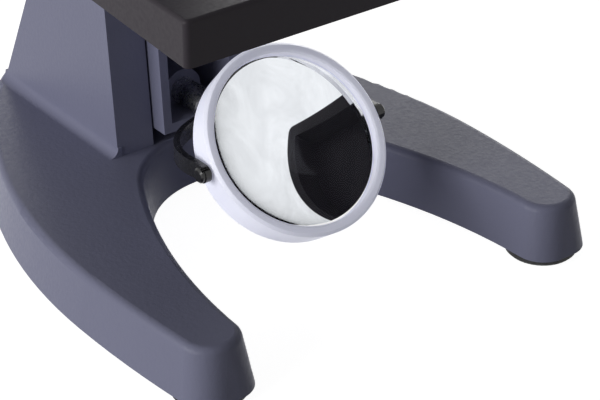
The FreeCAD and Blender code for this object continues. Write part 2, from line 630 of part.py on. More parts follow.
nodes.append(stage)

stageScrews = []
for number, (across, deep) in enumerate(screwPlaces, start=1):
    stageScrews.append(turned("stage_screw_%d" % number,
                              [(0, bracketBottom + 1), (s.stageScrewRadius, bracketBottom + 1),
                               (s.stageScrewRadius, sinkFloor), (s.stageScrewHead, sinkFloor),
                               (s.stageScrewHead, s.stageTop - 0.6),
                               (s.stageScrewHead - 0.4, s.stageTop - 0.2), (0, s.stageTop - 0.2)],
                              None, across, deep))
keep("stage_screws", *stageScrews)

# Stage clips: spring leaves on posts

for side, name in ((-1, "left"), (1, "right")):
    clip = newBody("clip_" + name)
    leaf = newSketch(clip, "clip_leaf_" + name, "XZ_Plane")
    knee = s.clipLength * 0.42
    tip = s.clipLength * 0.88
    low = [(-s.clipPostHead - 1, s.clipFoot), (s.clipPostHead + 1, s.clipFoot),
           (knee, s.clipFoot + s.clipRise), (tip, s.clipTouch), (s.clipLength, s.clipTouch + 1.1)]
    high = [(x, z + s.clipSheet) for x, z in reversed([(dim(x), dim(z)) for x, z in low])]
    addOutline(leaf, low + high)
    extrude(clip, "Pad", "clip_strip_" + name, leaf, s.clipWidth, both=True)
    roundEdges(clip, "clip_ends_" + name, s.clipWidth * 0.35,
               lambda edge: edge.BoundBox.XLength < 0.3 and edge.BoundBox.YLength < 0.01
               and edge.BoundBox.ZLength < 1.1)
    eye = newSketch(clip, "clip_eye_" + name, "XY_Plane")
    addCircle(eye, 0, 0, s.clipPostRadius + s.fitGap)
    extrude(clip, "Pocket", "clip_hole_" + name, eye, s.clipFoot + s.clipSheet * 2, back=True)
    angle = -s.clipAngle.value if side < 0 else 180 + s.clipAngle.value
    put(clip, side * s.clipSide, behind(s.clipReach), s.stageTop, FreeCAD.Rotation(zAxis, angle))
    nodes.append(clip)
    top = s.clipFoot + s.clipSheet
    postEnd = 0.5 - s.stagePlate
    kept(turned("clip_post_" + name,
                [(0, postEnd), (s.clipPostRadius, postEnd), (s.clipPostRadius, 0),
                 (s.clipPostHead - 0.5, 0),
                 (s.clipPostHead - 0.5, s.clipFoot), (s.clipPostRadius, s.clipFoot),
                 (s.clipPostRadius, top), (s.clipPostHead, top), (s.clipPostHead, top + 2.2),
                 (s.clipPostHead - 1.2, top + 3.2), (0, top + 3.2)], None,
                side * s.clipSide, behind(s.clipReach), s.stageTop))

# Condenser lens and disc diaphragm under the stage

mountBottom = plateBottom - s.mountDepth
lensSeatLevel = plateBottom - s.lensSeat
mountTop = s.stageTop - 0.4
mountBody = turned("condenser_mount",
                   [(s.lensRadius - 1.5, mountBottom), (s.mountRadius, mountBottom),
                    (s.mountRadius, plateBottom), (s.stageHole - s.fitGap, plateBottom),
                    (s.stageHole - s.fitGap, mountTop), (s.lensRadius + s.fitGap, mountTop),
                    (s.lensRadius + s.fitGap, lensSeatLevel), (s.lensRadius - 1.5, lensSeatLevel)],
                   None, 0, behind(0))
postHole = newSketch(mountBody, "disc_post_circle", "XY_Plane", mountBottom)
addCircle(postHole, s.discOffset, 0, s.discPost)
extrude(mountBody, "Pocket", "disc_post_hole", postHole, s.mountDepth - 2, back=True)
nodes.append(mountBody)
lensCrown = s.lensRadius * s.lensRadius / s.lensThick + s.lensThick / 4
kept(turned("condenser_lens",
            [(0, lensSeatLevel), (s.lensRadius, lensSeatLevel),
             (s.lensRadius, lensSeatLevel + s.lensThick * 0.5), (0, lensSeatLevel + s.lensThick)],
            {2: (lensCrown, 1)}, 0, behind(0)))
disc = newBody("diaphragm_disc")
discTop = mountBottom - s.discGap
discPlan = newSketch(disc, "disc_plan", "XY_Plane", discTop - s.discThick)
addCircle(discPlan, 0, 0, s.discRadius)
addCircle(discPlan, 0, 0, s.discPost + s.fitGap)
holeRadii = [4.5, 3.4, 2.4, 1.6, 1.0]
for number, radius in enumerate(holeRadii):
    angle = math.pi + number * 2 * math.pi / len(holeRadii)
    addCircle(discPlan, s.discOffset * math.cos(angle), s.discOffset * math.sin(angle), radius)
extrude(disc, "Pad", "disc_plate", discPlan, s.discThick)
put(disc, s.discOffset, behind(0), 0)
nodes.append(disc)
discBottom = discTop - s.discThick
kept(turned("diaphragm_screw",
            [(0, discBottom - 2), (s.discScrewHead - 0.6, discBottom - 2),
             (s.discScrewHead, discBottom - 1.5), (s.discScrewHead, discBottom - 0.1),
             (s.discPost, discBottom - 0.1), (s.discPost, mountBottom),
             (s.discPost - s.fitGap, mountBottom),
             (s.discPost - s.fitGap, mountBottom + 3.5), (0, mountBottom + 3.5)], None,
            s.discOffset, behind(0)))

# Mirror in its bowl, hung in a yoke on a stem

bowlTurn = FreeCAD.Rotation(xAxis, s.mirrorTilt.value)
glassBack = s.glassRise - s.glassThick
bowl = turned("mirror_bowl",
              [(0, -s.bowlDepth), (s.bowlFloor, -s.bowlDepth), (s.bowlWaist, -s.bowlShoulder),
               (s.bowlRadius, s.lipRise - 0.8), (s.bowlRadius - 0.8, s.lipRise),
               (s.glassRadius + 0.9, s.lipRise),
               (s.glassRadius + s.runningGap, s.glassRise), (s.glassRadius + s.runningGap, glassBack),
               (s.glassRadius - 2, glassBack), (s.glassRadius - 2, -s.bowlShoulder),
               (s.bowlFloor - 2, 2.2 - s.bowlDepth), (0, 2.2 - s.bowlDepth)],
              {1: (s.bowlWaist - s.bowlFloor + 1, 1)},
              0, behind(0), s.mirrorLevel, bowlTurn)
pivotHoles = newSketch(bowl, "pivot_circles", "YZ_Plane")
addCircle(pivotHoles, 0, 0, s.pivotRadius + s.fitGap * 2)
pivotDepth = s.bowlRadius - 3
extrude(bowl, "Pocket", "pivot_bore", pivotHoles, s.bowlRadius * 3, both=True)
nodes.append(bowl)
glass = turned("mirror_glass",
               [(0, glassBack), (s.glassRadius, glassBack), (s.glassRadius, s.glassRise - s.glassBevel),
                (s.glassRadius - s.glassBevel, s.glassRise), (0, s.glassRise)], None,
               0, behind(0), s.mirrorLevel, bowlTurn)

# The silvered face is hollow: a ball whose centre stands a little off the glass's own axis
ball = glass.newObject("PartDesign::SubtractiveSphere", "silvered_hollow")
ball.AttachmentSupport = [(glass.Origin.OriginFeatures[3], "")]
ball.MapMode = "FlatFace"
ball.setExpression("Radius", "Sizes.silverRadius")
ballRise = s.silverRadius * cosine(s.silverLeanSide) * cosine(s.silverLeanBack) - s.silverDepth
for letter, size in (("x", s.silverRadius * sine(s.silverLeanSide)),
                     ("y", s.silverRadius * sine(s.silverLeanBack)), ("z", ballRise)):
    ball.setExpression("AttachmentOffset.Base." + letter, size.text)
doc.recompute()
nodes.append(glass)

yoke = newBody("mirror_yoke")
yokeOuter = s.yokeInner + s.yokeThick
yokeHalf = s.yokeHeight / 2
yokePlan = newSketch(yoke, "yoke_plan", "XY_Plane")
addOutline(yokePlan, [(yokeOuter, 0), (yokeOuter, s.yokeStraight), (0, s.yokeStraight + yokeOuter),
                      (-yokeOuter, s.yokeStraight), (-yokeOuter, 0), (-s.yokeInner, 0),
                      (-s.yokeInner, s.yokeStraight), (0, s.yokeStraight + s.yokeInner),
                      (s.yokeInner, s.yokeStraight), (s.yokeInner, 0)],
           {1: (yokeOuter, 1), 2: (yokeOuter, 1), 6: (s.yokeInner, -1), 7: (s.yokeInner, -1)})
extrude(yoke, "Pad", "yoke_band", yokePlan, (s.yokeDrop + yokeHalf) * 2, both=True)
yokeBackReach = s.yokeStraight + yokeOuter
slopeEnd = yokeBackReach + 1
yokeSide = newSketch(yoke, "yoke_side", "YZ_Plane")
for edge, far in ((yokeHalf, s.yokeDrop * 2), (-yokeHalf, -s.yokeDrop * 3)):
    addOutline(yokeSide, [(dim(-1), edge), (s.yokeStraight, edge), (slopeEnd, edge - s.yokeDrop),
                          (slopeEnd, far), (dim(-1), far)])
extrude(yoke, "Pocket", "yoke_slope", yokeSide, yokeOuter * 3, both=True)
for side, name in ((-1, "left"), (1, "right")):
    eye = newSketch(yoke, "yoke_eye_" + name, "YZ_Plane", side * s.yokeInner)
    addCircle(eye, 0, 0, yokeHalf)
    extrude(yoke, "Pad", "yoke_eye_pad_" + name, eye, s.yokeThick, back=side < 0)
bossFront = s.yokeStraight + s.yokeInner - 1
bossBack = yokeBackReach + s.yokeBossDepth
yokeBossCircle = newSketch(yoke, "yoke_boss_circle", "XZ_Plane", -bossBack)
addCircle(yokeBossCircle, 0, -s.yokeDrop, s.yokeBoss)
extrude(yoke, "Pad", "yoke_boss_pad", yokeBossCircle, bossBack - bossFront)
stemEnd = s.stemRadius - 1
yokeBore = newSketch(yoke, "yoke_bore_circle", "XZ_Plane", -bossBack)
addCircle(yokeBore, 0, -s.yokeDrop, stemEnd + s.fitGap)
extrude(yoke, "Pocket", "yoke_bore", yokeBore, yokeBackReach, back=True)
eyeBore = newSketch(yoke, "eye_bore_circle", "YZ_Plane")
addCircle(eyeBore, 0, 0, s.pivotRadius + s.fitGap)
extrude(yoke, "Pocket", "eye_bore", eyeBore, yokeOuter * 3, both=True)
put(yoke, 0, behind(0), s.mirrorLevel)
nodes.append(yoke)

pivots = []
for side, rotation in ((-1, towardsX), (1, towardsMinusX)):
    outside = s.pivotKnob * 0.6
    pivots.append(turned("pivot_%d" % (side + 2),
                         [(0, -outside), (s.pivotKnob - 0.5, -outside), (s.pivotKnob, 0.5 - outside),
                          (s.pivotKnob, 0), (s.pivotRadius, 0), (s.pivotRadius, yokeOuter - pivotDepth),
                          (0, yokeOuter - pivotDepth)], None,
                         side * yokeOuter, behind(0), s.mirrorLevel, rotation))
keep("pivot_pins", *pivots)

stemCollar = bossBack
screwRadius = s.yokeScrewRadius
screwHead = s.yokeScrewHead
kept(turned("mirror_stem",
            [(screwRadius + s.fitGap, bossFront), (stemEnd, bossFront), (stemEnd, stemCollar),
             (s.stemCollar, stemCollar), (s.stemCollar, stemCollar + 2), (s.stemRadius, stemCollar + 2),
             (s.stemRadius, s.stemSeat), (0, s.stemSeat), (0, stemCollar),
             (screwRadius + s.fitGap, stemCollar)], None, 0, behind(0), stemLevel, towardsY))
kept(turned("yoke_screw",
            [(0, bossFront - 1.8), (screwHead - 0.5, bossFront - 1.8), (screwHead, bossFront - 1.3),
             (screwHead, bossFront), (screwRadius, bossFront), (screwRadius, stemCollar - 1),
             (0, stemCollar - 1)], None, 0, behind(0), stemLevel, towardsY))

# Tube with its slide and rack

kept(turned("body_tube",
            [(s.tubeBore, tubeBottom), (s.tubeRadius, tubeBottom),
             (s.tubeRadius, tubeTop - s.tubeRimDepth),
             (s.tubeRim, tubeTop - s.tubeRimDepth), (s.tubeRim, tubeTop - 0.8),
             (s.tubeRim - 0.8, tubeTop),
             (s.eyepieceBore, tubeTop), (s.eyepieceBore, tubeTop - s.eyepieceDrop - 4),
             (s.tubeBore, tubeTop - s.eyepieceDrop - 5)], None, 0, behind(0)))
slide = newBody("slide_bar")
slideFront = s.headReach + 0.1
tee = newSketch(slide, "slide_section", "XY_Plane", slideLow)
addOutline(tee, [(-s.slideNeck, behind(s.tubeRadius - 4)), (s.slideNeck, behind(s.tubeRadius - 4)),
                 (s.slideNeck, behind(slideFront)), (s.slideHalf, behind(slideFront)),
                 (s.slideHalf, behind(slideBack)), (-s.slideHalf, behind(slideBack)),
                 (-s.slideHalf, behind(slideFront)), (-s.slideNeck, behind(slideFront))])
extrude(slide, "Pad", "slide_block", tee, s.slideLength)
saddle = newSketch(slide, "saddle_circle", "XY_Plane", slideLow)
addCircle(saddle, 0, behind(0), s.tubeRadius + s.fitGap)
extrude(slide, "Pocket", "saddle_cut", saddle, s.slideLength, back=True)
headSeat = slideBack - s.tubeScrewSink
tubeScrewLevels = [slideLow + 9, slideLow + s.slideLength - 9]
for number, level in enumerate(tubeScrewLevels, start=1):
    hole = newSketch(slide, "tube_screw_hole_%d" % number, "XZ_Plane", -behind(slideBack))
    addCircle(hole, 0, level, s.tubeScrewRadius + s.fitGap)
    extrude(slide, "Pocket", "tube_screw_bore_%d" % number, hole, s.slideLength, back=True)
    sink = newSketch(slide, "tube_screw_sink_%d" % number, "XZ_Plane", -behind(headSeat))
    addCircle(sink, 0, level, s.tubeScrewHead + s.runningGap)
    extrude(slide, "Pocket", "tube_screw_recess_%d" % number, sink, s.slideLength)
nodes.append(slide)
tubeBody = [node for node in nodes if node.Label == "body_tube"][0]
for number, level in enumerate(tubeScrewLevels, start=1):
    hole = newSketch(tubeBody, "tube_side_hole_%d" % number, "XZ_Plane", 0)
    addCircle(hole, 0, level, s.tubeScrewRadius + s.fitGap)
    extrude(tubeBody, "Pocket", "tube_side_bore_%d" % number, hole, s.tubeRadius * 2)
tubeScrews = []
for number, level in enumerate(tubeScrewLevels, start=1):
    tubeScrews.append(turned("tube_screw_%d" % number,
                             [(0, s.tubeBore + 0.4), (s.tubeScrewRadius, s.tubeBore + 0.4),
                              (s.tubeScrewRadius, headSeat), (s.tubeScrewHead, headSeat),
                              (s.tubeScrewHead, slideBack - 0.4), (0, slideBack - 0.4)], None,
                             0, behind(0), level, towardsY))
keep("tube_screws", *tubeScrews)

toothPitch = s.toothModule * math.pi
toothSlope = math.tan(math.radians(20))
addendum = s.toothModule * 0.9
dedendum = s.toothModule * 1.25
rackTooth = s.toothModule * 0.66
rackTop = pinionLevel + toothPitch * s.rackTeethAbove
rack = newBody("rack")
rackRoot = slideBack + s.rackBack
backPlate = newSketch(rack, "rack_plate_side", "YZ_Plane")
rackBottom = rackTop - toothPitch * (s.rackTeeth - 1) - 1.5
addOutline(backPlate, [(behind(slideBack), rackBottom), (behind(rackRoot), rackBottom),
                       (behind(rackRoot), rackTop + 1.5), (behind(slideBack), rackTop + 1.5)])
extrude(rack, "Pad", "rack_plate", backPlate, s.rackHalf * 2, both=True)
toothSide = newSketch(rack, "rack_tooth_side", "YZ_Plane")
rackTip = rackPitch + addendum
rootHalf = rackTooth + dedendum * toothSlope
tipHalf = rackTooth - addendum * toothSlope
addOutline(toothSide, [(behind(rackRoot - 0.3), rackTop - rootHalf),
                       (behind(rackRoot), rackTop - rootHalf),
                       (behind(rackTip), rackTop - tipHalf), (behind(rackTip), rackTop + tipHalf),
                       (behind(rackRoot), rackTop + rootHalf),
                       (behind(rackRoot - 0.3), rackTop + rootHalf)])
toothPad = extrude(rack, "Pad", "rack_tooth", toothSide, s.rackHalf * 2, both=True)
teeth = rack.newObject("PartDesign::LinearPattern", "rack_teeth")
teeth.Originals = [toothPad]
teeth.Direction = (toothSide, ["V_Axis"])
teeth.Reversed = True
teeth.setExpression("Length", (toothPitch * (s.rackTeeth - 1)).text)
teeth.setExpression("Occurrences", "Sizes.rackTeeth")
rack.Tip = teeth
nodes.append(rack)

# Guide plates on the arm's head, and their screws

gibLow = (headBottom + headTop - s.gibLength) / 2
gibInner = s.slideNeck + 0.4
gibScrewSide = (s.slideHalf + s.limbHalf) / 2 + 0.2
gibScrewLevels = [gibLow + 7, gibLow + s.gibLength - 7]
gibs = []
gibScrews = []
for side, name in ((-1, "left"), (1, "right")):
    gib = newBody("gib_" + name)
    gibPlan = newSketch(gib, "gib_plan_" + name, "XY_Plane", gibLow)
    low, high = sorted((side * gibInner, side * (s.limbHalf - 0.3)), key=lambda size: size.value)
    addOutline(gibPlan, [(low, behind(s.headReach - s.gibThick)),
                         (high, behind(s.headReach - s.gibThick)),
                         (high, behind(s.headReach)), (low, behind(s.headReach))])
    extrude(gib, "Pad", "gib_block_" + name, gibPlan, s.gibLength)
    holes = newSketch(gib, "gib_holes_" + name, "XZ_Plane", -behind(s.headReach))
    for level in gibScrewLevels:
        addCircle(holes, side * gibScrewSide, level, s.gibScrewRadius + s.fitGap)
        gibFace = s.headReach - s.gibThick
        gibEnd = s.headReach + s.gibScrewDepth
        gibScrews.append(turned("gib_screw_%s_%d" % (name, len(gibScrews) + 1),
                                [(0, gibFace - 1.6), (s.gibScrewHead - 0.4, gibFace - 1.6),
                                 (s.gibScrewHead, gibFace - 1.1), (s.gibScrewHead, gibFace),
                                 (s.gibScrewRadius, gibFace), (s.gibScrewRadius, gibEnd), (0, gibEnd)],
                                None, side * gibScrewSide, behind(0), level, towardsY))
    extrude(gib, "Pocket", "gib_bores_" + name, holes, s.gibThick * 2, both=True)
    gibs.append(gib)
keep("gib_plates", *gibs)
keep("gib_screws", *gibScrews)
gibHoles = newSketch(limb, "gib_hole_circles", "XZ_Plane", -behind(s.headReach + s.gibScrewDepth))
for side in (-1, 1):
    for level in gibScrewLevels:
        addCircle(gibHoles, side * gibScrewSide, level, s.gibScrewRadius + s.fitGap)
extrude(limb, "Pocket", "gib_screw_bores", gibHoles, s.headReach, back=True)

# Pinion, shaft, bushes and knobs

shaftHalf = s.limbHalf + s.knobGap + s.knobThick - 3
tapRadius = s.knobScrewRadius + s.fitGap
tapEnd = shaftHalf - s.knobScrewLength
kept(turned("pinion_shaft",
            [(0, -tapEnd), (tapRadius, -tapEnd), (tapRadius, -shaftHalf),
             (s.shaftRadius - 0.4, -shaftHalf),
             (s.shaftRadius, 0.4 - shaftHalf), (s.shaftRadius, shaftHalf - 0.4),
             (s.shaftRadius - 0.4, shaftHalf), (tapRadius, shaftHalf), (tapRadius, tapEnd),
             (0, tapEnd)],
            None, 0, behind(pinionReach), pinionLevel, towardsX))
pinion = newBody("pinion")
wheelRoot = pitchRadius - dedendum
blank = newSketch(pinion, "pinion_blank_circles", "XY_Plane")
addCircle(blank, 0, 0, wheelRoot)
addCircle(blank, 0, 0, s.shaftRadius + s.fitGap)
extrude(pinion, "Pad", "pinion_blank", blank, s.pinionHalf * 2, both=True)
wheelTooth = newSketch(pinion, "pinion_tooth_section", "XY_Plane")
wheelTip = pitchRadius + addendum
toothProfile = [(wheelRoot - 0.4, s.toothModule), (wheelRoot + 0.1, s.toothModule),
                (pitchRadius, s.toothModule * 0.6), (wheelTip, s.toothModule * 0.28)]
addOutline(wheelTooth, [(out, -half) for out, half in toothProfile] + toothProfile[::-1])
wheelPad = extrude(pinion, "Pad", "pinion_tooth", wheelTooth, s.pinionHalf * 2, both=True)


def around(body, name, feature, count, axis):
    # Repeats a feature evenly about an axis.
    pattern = body.newObject("PartDesign::PolarPattern", name)
    pattern.Originals = [feature]
    pattern.Axis = axis
    pattern.Angle = 360
    if isinstance(count, Dim):
        pattern.setExpression("Occurrences", count.text)
    else:
        pattern.Occurrences = count
    body.Tip = pattern
    doc.recompute()
    return pattern


around(pinion, "pinion_teeth", wheelPad, s.pinionTeeth, (wheelTooth, ["N_Axis"]))
halfTooth = 180 / s.pinionTeeth.value
meshed = towardsX.multiply(FreeCAD.Rotation(zAxis, 90 + halfTooth))
put(pinion, 0, behind(pinionReach), pinionLevel, meshed)
nodes.append(pinion)

shaftHole = s.shaftRadius + s.fitGap
bushEnd = s.pinionHalf + s.runningGap
bushes = []
knobScrews = []
for side, rotation, name in ((-1, towardsMinusX, "left"), (1, towardsX, "right")):
    bushes.append(turned("bush_" + name,
                         [(shaftHole, bushEnd), (s.bushRadius, bushEnd), (s.bushRadius, s.limbHalf),
                          (s.bushRadius + 2, s.limbHalf), (s.bushRadius + 2, s.limbHalf + 1),
                          (shaftHole, s.limbHalf + 1)], None, 0, behind(pinionReach), pinionLevel,
                         rotation))
    inside = s.limbHalf + s.knobGap
    outside = inside + s.knobThick
    screwEnd = shaftHalf - s.knobScrewLength + 1
    sinkEnd = outside - s.knobSink
    sinkRadius = s.knobScrewHead + 0.4
    knob = turned("knob_" + name,
                  [(shaftHole, inside), (s.hubRadius, inside), (s.hubRadius + 1, inside + 2),
                   (s.knobRadius - 1, inside + 2), (s.knobRadius, inside + 3),
                   (s.knobRadius, outside - 1),
                   (s.knobRadius - 1, outside), (s.hubRadius + 3, outside),
                   (s.hubRadius + 2, outside - 0.8),
                   (sinkRadius, outside - 0.8), (sinkRadius, sinkEnd), (tapRadius, sinkEnd),
                   (tapRadius, outside - 3), (shaftHole, outside - 3)], None,
                  0, behind(pinionReach), pinionLevel, rotation)
    flute = newSketch(knob, "flute_circle_" + name, "XY_Plane", outside)
    addCircle(flute, s.knobRadius + s.fluteRadius / 3, 0, s.fluteRadius)
    cut = extrude(knob, "Pocket", "flute_" + name, flute, s.knobThick)
    around(knob, "flutes_" + name, cut, s.knobFlutes, (flute, ["N_Axis"]))
    nodes.append(knob)
    knobScrews.append(turned("knob_screw_" + name,
                             [(0, screwEnd), (s.knobScrewRadius, screwEnd),
                              (s.knobScrewRadius, outside - s.knobSink),
                              (s.knobScrewHead, outside - s.knobSink), (s.knobScrewHead, outside - 1),
                              (s.knobScrewHead - 0.6, outside - 0.5), (0, outside - 0.5)], None,
                             0, behind(pinionReach), pinionLevel, rotation))
keep("pinion_bushes", *bushes)
keep("knob_screws", *knobScrews)

# Nosepiece: the turret turns about an axis that leans forward

noseTurn = FreeCAD.Rotation(xAxis, -s.noseTilt.value)
noseCos = cosine(s.noseTilt)
noseSin = sine(s.noseTilt)
noseTan = noseSin / noseCos
noseReach = -s.noseSeat * noseCos
noseLevel = shoulderLevel + s.noseSeat * noseSin
plateTop = s.turretRim + 1
mountLow = plateTop + s.runningGap
mountHigh = mountLow + 4.5


def tilted(body, name, rise):
    # A sketch square to the tube's axis, this far above the seat in use.
    sketch = newSketch(body, name, "XY_Plane", rise * noseCos)
    sketch.AttachmentOffset = FreeCAD.Placement(V(0, 0, 0), FreeCAD.Rotation(xAxis, s.noseTilt.value))
    sketch.setExpression("AttachmentOffset.Base.z", (dim(rise) * noseCos).text)
    sketch.setExpression("AttachmentOffset.Base.y", (s.noseSeat - dim(rise) * noseSin).text)
    return sketch


mount = newBody("nosepiece_mount")
neck = tilted(mount, "neck_circle", tubeBottom - shoulderLevel)
addCircle(neck, 0, 0, s.tubeRadius)
extrude(mount, "Pad", "neck", neck, tubeBottom - shoulderLevel - 4, back=True)
below = newSketch(mount, "neck_trim_circle", "XY_Plane", mountLow)
addCircle(below, 0, 0, s.turretRadius * 2)
extrude(mount, "Pocket", "neck_trim", below, s.turretRadius)
plate = newSketch(mount, "mount_plate_circle", "XY_Plane", mountLow)
addCircle(plate, 0, 0, s.turretRadius - 2.5)
extrude(mount, "Pad", "mount_plate", plate, mountHigh - mountLow)
spigot = tilted(mount, "spigot_circle", tubeBottom - shoulderLevel)
addCircle(spigot, 0, 0, s.tubeBore - s.fitGap)
extrude(mount, "Pad", "spigot", spigot, 6)
light = tilted(mount, "light_circle", tubeBottom - shoulderLevel + 6)
addCircle(light, 0, 0, s.objectiveThread)
extrude(mount, "Pocket", "light_bore", light, tubeBottom - shoulderLevel + 6)
centreHole = newSketch(mount, "mount_centre_circle", "XY_Plane", mountHigh)
addCircle(centreHole, 0, 0, s.nosePivot + s.fitGap)
extrude(mount, "Pocket", "mount_centre_bore", centreHole, mountHigh)
put(mount, 0, behind(noseReach), noseLevel, noseTurn)
nodes.append(mount)

hubLow = -8 * noseTan
pivotHole = s.nosePivot + s.runningGap
rimLow = (s.turretRadius - s.noseSeat) * noseTan
turret = turned("nosepiece_turret",
                [(pivotHole, hubLow), (s.noseSeat - 8, hubLow), (s.turretRadius, rimLow),
                 (s.turretRadius, plateTop - 1), (s.turretRadius - 1, plateTop), (pivotHole, plateTop)],
                None, 0, behind(noseReach), noseLevel, noseTurn)
seat = tilted(turret, "seat_circle", 0)
addCircle(seat, 0, 0, s.objectiveThread + s.fitGap)
seatCut = extrude(turret, "Pocket", "seat_bore", seat, s.turretRadius * 2, both=True)
objectiveCount = 3
around(turret, "seat_bores", seatCut, objectiveCount, (turret.Origin.OriginFeatures[2], [""]))
nodes.append(turret)
kept(turned("nosepiece_screw",
            [(0, hubLow - 2.4), (s.nosePivot + 2, hubLow - 2.4), (s.nosePivot * 2, hubLow - 1.6),
             (s.nosePivot * 2, hubLow - s.runningGap), (s.nosePivot, hubLow - s.runningGap),
             (s.nosePivot, mountHigh - 0.5), (0, mountHigh - 0.5)], None,
            0, behind(noseReach), noseLevel, noseTurn))

glassPlaces = []
objectiveLengths = (("4x", s.lowLength), ("10x", s.middleLength), ("40x", s.highLength))
for number, (power, length) in enumerate(objectiveLengths):
    swing = number * 360 / objectiveCount
    turn = noseTurn.multiply(FreeCAD.Rotation(zAxis, swing)).multiply(noseTurn.inverted())
    turnSin = math.sin(math.radians(swing))
    turnCos = math.cos(math.radians(swing))
    across = -s.noseSeat * turnSin
    deep = behind(noseReach + s.noseSeat * turnCos * noseCos)
    up = noseLevel - s.noseSeat * turnCos * noseSin
    front = 2.2 if power == "40x" else 3.4
    body = s.objectiveBarrel
    inside = s.objectiveThread - 1.2
    kept(turned("objective_" + power,
                [(front, -length), (s.objectiveNose, -length), (s.objectiveNose + 0.8, 5 - length),
                 (body - 2.5, 7 - length), (body - 1.2, -length * 0.55), (body - 1.2, -10), (body, -9),
                 (body, -1), (body - 0.6, 0), (s.objectiveThread, 0),
                 (s.objectiveThread, s.objectiveThreadLength), (inside, s.objectiveThreadLength),
                 (inside, 6 - length), (front + 0.6, 2.5 - length), (front, 2.5 - length)],
                None, across, deep, up, turn))
    edge = front - s.fitGap
    glassPlaces.append(turned("front_lens_" + power,
                              [(0, 0.4 - length), (edge, 0.4 - length), (edge, 1.6 - length),
                               (0, 2.2 - length)], None, across, deep, up, turn))
keep("objective_lenses", *glassPlaces)

# Eyepiece

lensSeat = s.eyepieceHeight - s.eyeLensDrop
barrelEnd = 1 - s.eyepieceDrop
cupSeat = s.eyepieceHeight - s.cupDepth
kept(turned("eyepiece_barrel",
            [(s.fieldStop, -s.eyepieceDrop), (s.eyepieceRadius - 0.5, -s.eyepieceDrop),
             (s.eyepieceRadius, 0.5 - s.eyepieceDrop), (s.eyepieceRadius, 0), (s.eyepieceHead - 0.8, 0),
             (s.eyepieceHead, 0.8), (s.eyepieceHead, cupSeat - 1.5), (s.eyepieceHead - 1, cupSeat),
             (s.cupRadius, cupSeat), (s.cupRadius, cupSeat + 3), (s.eyeLens + 1.5, cupSeat + 3),
             (s.eyeLens, lensSeat + 1), (s.eyeLens, lensSeat), (s.eyepieceTube, lensSeat),
             (s.eyepieceTube, barrelEnd), (s.fieldStop, barrelEnd)], None, 0, behind(0), tubeTop))
kept(turned("eyecup",
            [(s.cupRadius + s.fitGap, cupSeat), (s.eyepieceHead, cupSeat),
             (s.eyepieceHead, s.eyepieceHeight - 1.5), (s.eyepieceHead - 1.5, s.eyepieceHeight),
             (s.cupRadius + 0.5, s.eyepieceHeight), (s.cupRadius + s.fitGap, s.eyepieceHeight - 0.5)],
            None, 0, behind(0), tubeTop))
lensEdge = s.eyepieceTube - s.fitGap
kept(turned("eye_lens",
            [(0, lensSeat - 4.5), (lensEdge, lensSeat - 2.5), (lensEdge, lensSeat), (0, lensSeat)],
            None, 0, behind(0), tubeTop))
kept(turned("field_lens",
            [(0, barrelEnd), (lensEdge, barrelEnd), (lensEdge, barrelEnd + 1.5), (0, barrelEnd + 3.5)],
            None, 0, behind(0), tubeTop))

# Checks and files

doc.recompute()
for thing in doc.Objects:
    if "Invalid" in thing.State or "Error" in thing.State:
        raise RuntimeError("%s did not build" % thing.Label)
for node in nodes:
    if node.Shape.isNull() or not node.Shape.isValid() or not node.Shape.Solids:
        raise RuntimeError("%s has no sound solid" % node.Label)
os.makedirs("parts", exist_ok=True)
for node in nodes:
    node.Shape.exportStep("parts/%s.step" % node.Label)
print("%d sub-parts written" % len(nodes))
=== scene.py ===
import json
import math
import bpy
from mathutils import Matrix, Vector


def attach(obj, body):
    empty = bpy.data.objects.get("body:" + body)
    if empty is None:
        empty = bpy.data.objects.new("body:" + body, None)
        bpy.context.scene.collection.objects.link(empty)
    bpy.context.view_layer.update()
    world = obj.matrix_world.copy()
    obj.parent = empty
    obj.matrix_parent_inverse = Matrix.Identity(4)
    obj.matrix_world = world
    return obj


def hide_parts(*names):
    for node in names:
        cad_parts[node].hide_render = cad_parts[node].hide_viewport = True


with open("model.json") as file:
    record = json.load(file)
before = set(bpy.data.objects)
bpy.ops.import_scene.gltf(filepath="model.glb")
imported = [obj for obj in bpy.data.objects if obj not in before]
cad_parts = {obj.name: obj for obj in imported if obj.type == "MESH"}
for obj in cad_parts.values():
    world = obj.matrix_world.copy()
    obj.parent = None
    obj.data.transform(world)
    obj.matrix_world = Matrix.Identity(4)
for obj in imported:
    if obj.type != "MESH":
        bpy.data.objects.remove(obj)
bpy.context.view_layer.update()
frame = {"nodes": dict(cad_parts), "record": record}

mm = 0.001
nodes = frame["nodes"]
white = (1, 1, 1, 1)

# Camera, where the photograph was taken from

photoView = {
    "aim": (0.48, -41.46, 18.5),          # mm, the point in the middle of the picture
    "direction": (0.5235, 0.6886, -0.502),
    "distance": 593,                      # mm
    "lens": 126.5,
    "sensor": 36,
    "clip": (0.01, 20),                   # m
}


def addCamera(view):
    aim = Vector(view["aim"]) * mm
    direction = Vector(view["direction"]).normalized()
    bpy.ops.object.select_all(action="DESELECT")
    bpy.ops.object.camera_add(location=aim - direction * view["distance"] * mm,
                              rotation=direction.to_track_quat("-Z", "Y").to_euler())
    camera = bpy.context.object
    camera.name = "photoCamera"
    camera.data.lens = view["lens"]
    camera.data.sensor_width = view["sensor"]
    camera.data.clip_start, camera.data.clip_end = view["clip"]
    bpy.context.scene.camera = camera
    print("camera placed")


addCamera(photoView)

# Helpers for materials

firstColour, secondColour, mixedColour = 6, 7, 2      # sockets of a Mix node that mixes colours


def newMaterial(name):
    material = bpy.data.materials.new(name)
    material.use_nodes = True
    tree = material.node_tree
    return material, tree, tree.nodes["Principled BSDF"]


def setInputs(node, values):
    for socket, value in values.items():
        node.inputs[socket].default_value = value


